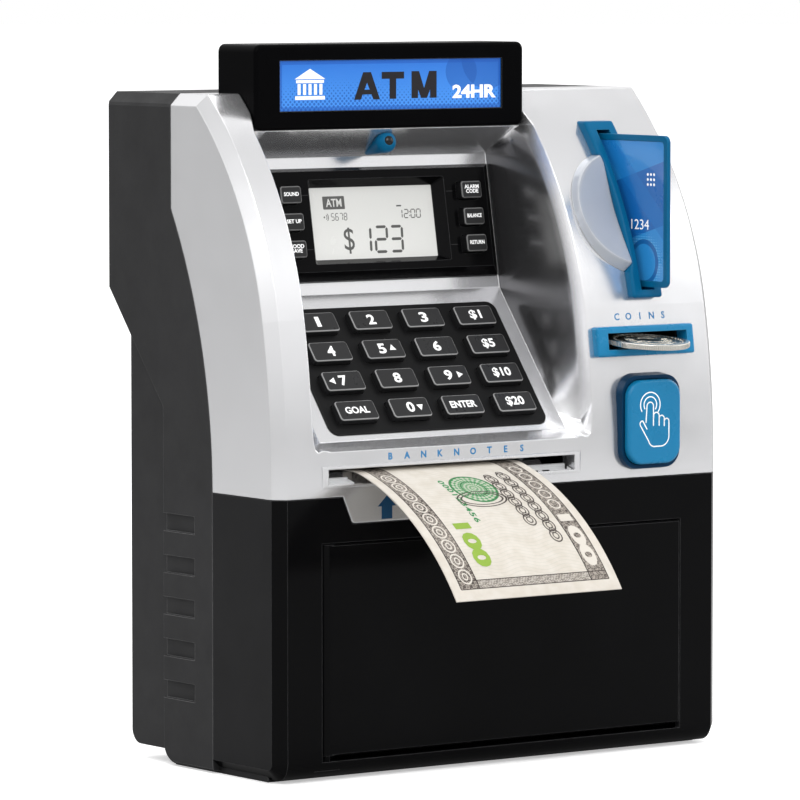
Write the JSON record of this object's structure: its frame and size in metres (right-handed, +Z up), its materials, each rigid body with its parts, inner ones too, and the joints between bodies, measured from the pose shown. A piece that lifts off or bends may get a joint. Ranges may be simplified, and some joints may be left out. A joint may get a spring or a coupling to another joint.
{
  "type": "toy atm savings bank",
  "caption": "Toy savings bank shaped like a small cash machine: sloping keypad, display, lit sign, note, coin and card slots, and a hinged vault door over a cash space.",
  "frame": {"origin": "on the table, under the middle of the machine's width, 44.5 mm behind its flat lower front", "axes": "+X to the right as the user sees it from the front, -Y towards the user, +Z up"},
  "size_m": [0.184, 0.1528, 0.2398],
  "materials": {
    "silver_paint": "silver metallic paint, semi-gloss",
    "black_gloss": "piano black",
    "black_matte": "fine matt texture",
    "bezel_blue": "satin",
    "deep_blue": "satin",
    "button_blue": "satin",
    "sign_blue": "printed panel",
    "lcd_clear": "clear window",
    "lcd_dark": "display module",
    "key_grey": "satin",
    "panel_black": "satin",
    "halo_clear": "frosted translucent",
    "card_white": "satin",
    "coin_silver": "metallised plastic",
    "note_paper": "printed paper",
    "roller_rubber": "matt",
    "white_gear": "nylon",
    "steel": "zinc plated",
    "board_green": "solder mask",
    "mat_grey": "silicone",
    "cell_wrap": "printed sleeve",
    "foot_rubber": "matt",
    "inner_grey": "moulded"
  },
  "bodies": {
    "housing": {"rear_shell": "black_matte", "front_base_shell": "black_gloss", "base_plate": "black_matte", "rubber_feet": "foot_rubber", "upper_fascia": "silver_paint", "housing_screws": "steel", "latch_solenoid": "steel", "batteries": "cell_wrap", "battery_contacts": "steel", "keypad_bezel": "panel_black", "keypad_mat": "mat_grey", "keypad_board": "board_green", "lcd_bezel": "black_gloss", "lcd_window": "lcd_clear", "lcd_module": "lcd_dark", "sign_housing": "black_gloss", "sign_panel": "sign_blue", "camera_hood": "bezel_blue", "note_slot_guide": "silver_paint", "feed_motor": "steel", "coin_slot_bezel": "bezel_blue", "coin_chute": "inner_grey", "card_slot_bezel": "deep_blue", "card_halo": "halo_clear", "card_reader": "inner_grey", "touch_button_base": "deep_blue", "main_board": "board_green", "speaker": "black_matte"},
    "vault_door": {"vault_door": "black_gloss"},
    "latch_bolt": {"latch_bolt": "steel"},
    "battery_door": {"battery_door": "black_matte"},
    "touch_button": {"touch_button": "button_blue"},
    "bank_card": {"bank_card": "card_white"},
    "play_note": {"play_note": "note_paper"},
    "coin": {"coin": "coin_silver"},
    "feed_roller": {"feed_roller": "roller_rubber"},
    "pinch_roller": {"pinch_roller": "roller_rubber"},
    "motor_pinion": {"motor_pinion": "white_gear"},
    "key_1": {"key_1": "key_grey"},
    "key_2": {"key_2": "key_grey"},
    "key_3": {"key_3": "key_grey"},
    "key_add_1": {"key_add_1": "key_grey"},
    "key_4": {"key_4": "key_grey"},
    "key_5": {"key_5": "key_grey"},
    "key_6": {"key_6": "key_grey"},
    "key_add_5": {"key_add_5": "key_grey"},
    "key_7": {"key_7": "key_grey"},
    "key_8": {"key_8": "key_grey"},
    "key_9": {"key_9": "key_grey"},
    "key_add_10": {"key_add_10": "key_grey"},
    "key_goal": {"key_goal": "key_grey"},
    "key_0": {"key_0": "key_grey"},
    "key_enter": {"key_enter": "key_grey"},
    "key_add_20": {"key_add_20": "key_grey"},
    "soft_key_left_1": {"soft_key_left_1": "key_grey"},
    "soft_key_left_2": {"soft_key_left_2": "key_grey"},
    "soft_key_left_3": {"soft_key_left_3": "key_grey"},
    "soft_key_right_1": {"soft_key_right_1": "key_grey"},
    "soft_key_right_2": {"soft_key_right_2": "key_grey"},
    "soft_key_right_3": {"soft_key_right_3": "key_grey"}
  },
  "joints": [
    {"name": "vault_door_hinge", "type": "hinge", "parent": "housing", "child": "vault_door", "pos_m": [-0.071, -0.0415, 0.043], "axis": [0, 0, -1], "range_deg": [0, 95], "deforming": ["play_note"]},
    {"name": "latch_slide", "type": "slide", "parent": "housing", "child": "latch_bolt", "axis": [-1, 0, 0], "range_m": [0, 0.004]},
    {"name": "battery_door_hinge", "type": "hinge", "parent": "housing", "child": "battery_door", "pos_m": [0, 0.043, 0.0178], "axis": [-1, 0, 0], "range_deg": [0, 90]},
    {"name": "touch_button_press", "type": "slide", "parent": "housing", "child": "touch_button", "axis": [0, 1, 0], "range_m": [0, 0.0013]},
    {"name": "bank_card_slide", "type": "slide", "parent": "housing", "child": "bank_card", "axis": [0, 1, 0], "range_m": [-0.07, 0.01]},
    {"name": "coin_slide", "type": "slide", "parent": "housing", "child": "coin", "axis": [0, 1, 0], "range_m": [-0.02, 0.012]},
    {"name": "note_slide", "type": "slide", "parent": "housing", "child": "play_note", "axis": [0, -1, 0], "range_m": [0, 0.065]},
    {"name": "feed_roller_spin", "type": "hinge", "parent": "housing", "child": "feed_roller", "pos_m": [-0.0245, -0.02, 0.0951], "axis": [1, 0, 0], "range_deg": [0, 664.9]},
    {"name": "pinch_roller_spin", "type": "hinge", "parent": "housing", "child": "pinch_roller", "pos_m": [-0.0245, -0.02, 0.1061], "axis": [1, 0, 0], "range_deg": [-745, 0]},
    {"name": "motor_pinion_spin", "type": "hinge", "parent": "housing", "child": "motor_pinion", "pos_m": [0.024, -0.0074, 0.0951], "axis": [1, 0, 0], "range_deg": [-1330, 0]},
    {"name": "key_1_press", "type": "slide", "parent": "housing", "child": "key_1", "axis": [0, 0.7793, -0.6266], "range_m": [0, 0.0008]},
    {"name": "key_2_press", "type": "slide", "parent": "housing", "child": "key_2", "axis": [0, 0.7793, -0.6266], "range_m": [0, 0.0008]},
    {"name": "key_3_press", "type": "slide", "parent": "housing", "child": "key_3", "axis": [0, 0.7793, -0.6266], "range_m": [0, 0.0008]},
    {"name": "key_add_1_press", "type": "slide", "parent": "housing", "child": "key_add_1", "axis": [0, 0.7793, -0.6266], "range_m": [0, 0.0008]},
    {"name": "key_4_press", "type": "slide", "parent": "housing", "child": "key_4", "axis": [0, 0.7793, -0.6266], "range_m": [0, 0.0008]},
    {"name": "key_5_press", "type": "slide", "parent": "housing", "child": "key_5", "axis": [0, 0.7793, -0.6266], "range_m": [0, 0.0008]},
    {"name": "key_6_press", "type": "slide", "parent": "housing", "child": "key_6", "axis": [0, 0.7793, -0.6266], "range_m": [0, 0.0008]},
    {"name": "key_add_5_press", "type": "slide", "parent": "housing", "child": "key_add_5", "axis": [0, 0.7793, -0.6266], "range_m": [0, 0.0008]},
    {"name": "key_7_press", "type": "slide", "parent": "housing", "child": "key_7", "axis": [0, 0.7793, -0.6266], "range_m": [0, 0.0008]},
    {"name": "key_8_press", "type": "slide", "parent": "housing", "child": "key_8", "axis": [0, 0.7793, -0.6266], "range_m": [0, 0.0008]},
    {"name": "key_9_press", "type": "slide", "parent": "housing", "child": "key_9", "axis": [0, 0.7793, -0.6266], "range_m": [0, 0.0008]},
    {"name": "key_add_10_press", "type": "slide", "parent": "housing", "child": "key_add_10", "axis": [0, 0.7793, -0.6266], "range_m": [0, 0.0008]},
    {"name": "key_goal_press", "type": "slide", "parent": "housing", "child": "key_goal", "axis": [0, 0.7793, -0.6266], "range_m": [0, 0.0008]},
    {"name": "key_0_press", "type": "slide", "parent": "housing", "child": "key_0", "axis": [0, 0.7793, -0.6266], "range_m": [0, 0.0008]},
    {"name": "key_enter_press", "type": "slide", "parent": "housing", "child": "key_enter", "axis": [0, 0.7793, -0.6266], "range_m": [0, 0.0008]},
    {"name": "key_add_20_press", "type": "slide", "parent": "housing", "child": "key_add_20", "axis": [0, 0.7793, -0.6266], "range_m": [0, 0.0008]},
    {"name": "soft_key_left_1_press", "type": "slide", "parent": "housing", "child": "soft_key_left_1", "axis": [0, 0.9842, -0.1771], "range_m": [0, 0.0008]},
    {"name": "soft_key_left_2_press", "type": "slide", "parent": "housing", "child": "soft_key_left_2", "axis": [0, 0.9842, -0.1771], "range_m": [0, 0.0008]},
    {"name": "soft_key_left_3_press", "type": "slide", "parent": "housing", "child": "soft_key_left_3", "axis": [0, 0.9842, -0.1771], "range_m": [0, 0.0008]},
    {"name": "soft_key_right_1_press", "type": "slide", "parent": "housing", "child": "soft_key_right_1", "axis": [0, 0.9842, -0.1771], "range_m": [0, 0.0008]},
    {"name": "soft_key_right_2_press", "type": "slide", "parent": "housing", "child": "soft_key_right_2", "axis": [0, 0.9842, -0.1771], "range_m": [0, 0.0008]},
    {"name": "soft_key_right_3_press", "type": "slide", "parent": "housing", "child": "soft_key_right_3", "axis": [0, 0.9842, -0.1771], "range_m": [0, 0.0008]}
  ],
  "couplings": [
    {"joint": "note_slide", "follows": "feed_roller_spin", "m_per_rad": 0.0056},
    {"joint": "pinch_roller_spin", "follows": "feed_roller_spin", "ratio": -1.12},
    {"joint": "motor_pinion_spin", "follows": "feed_roller_spin", "ratio": -2}
  ]
}
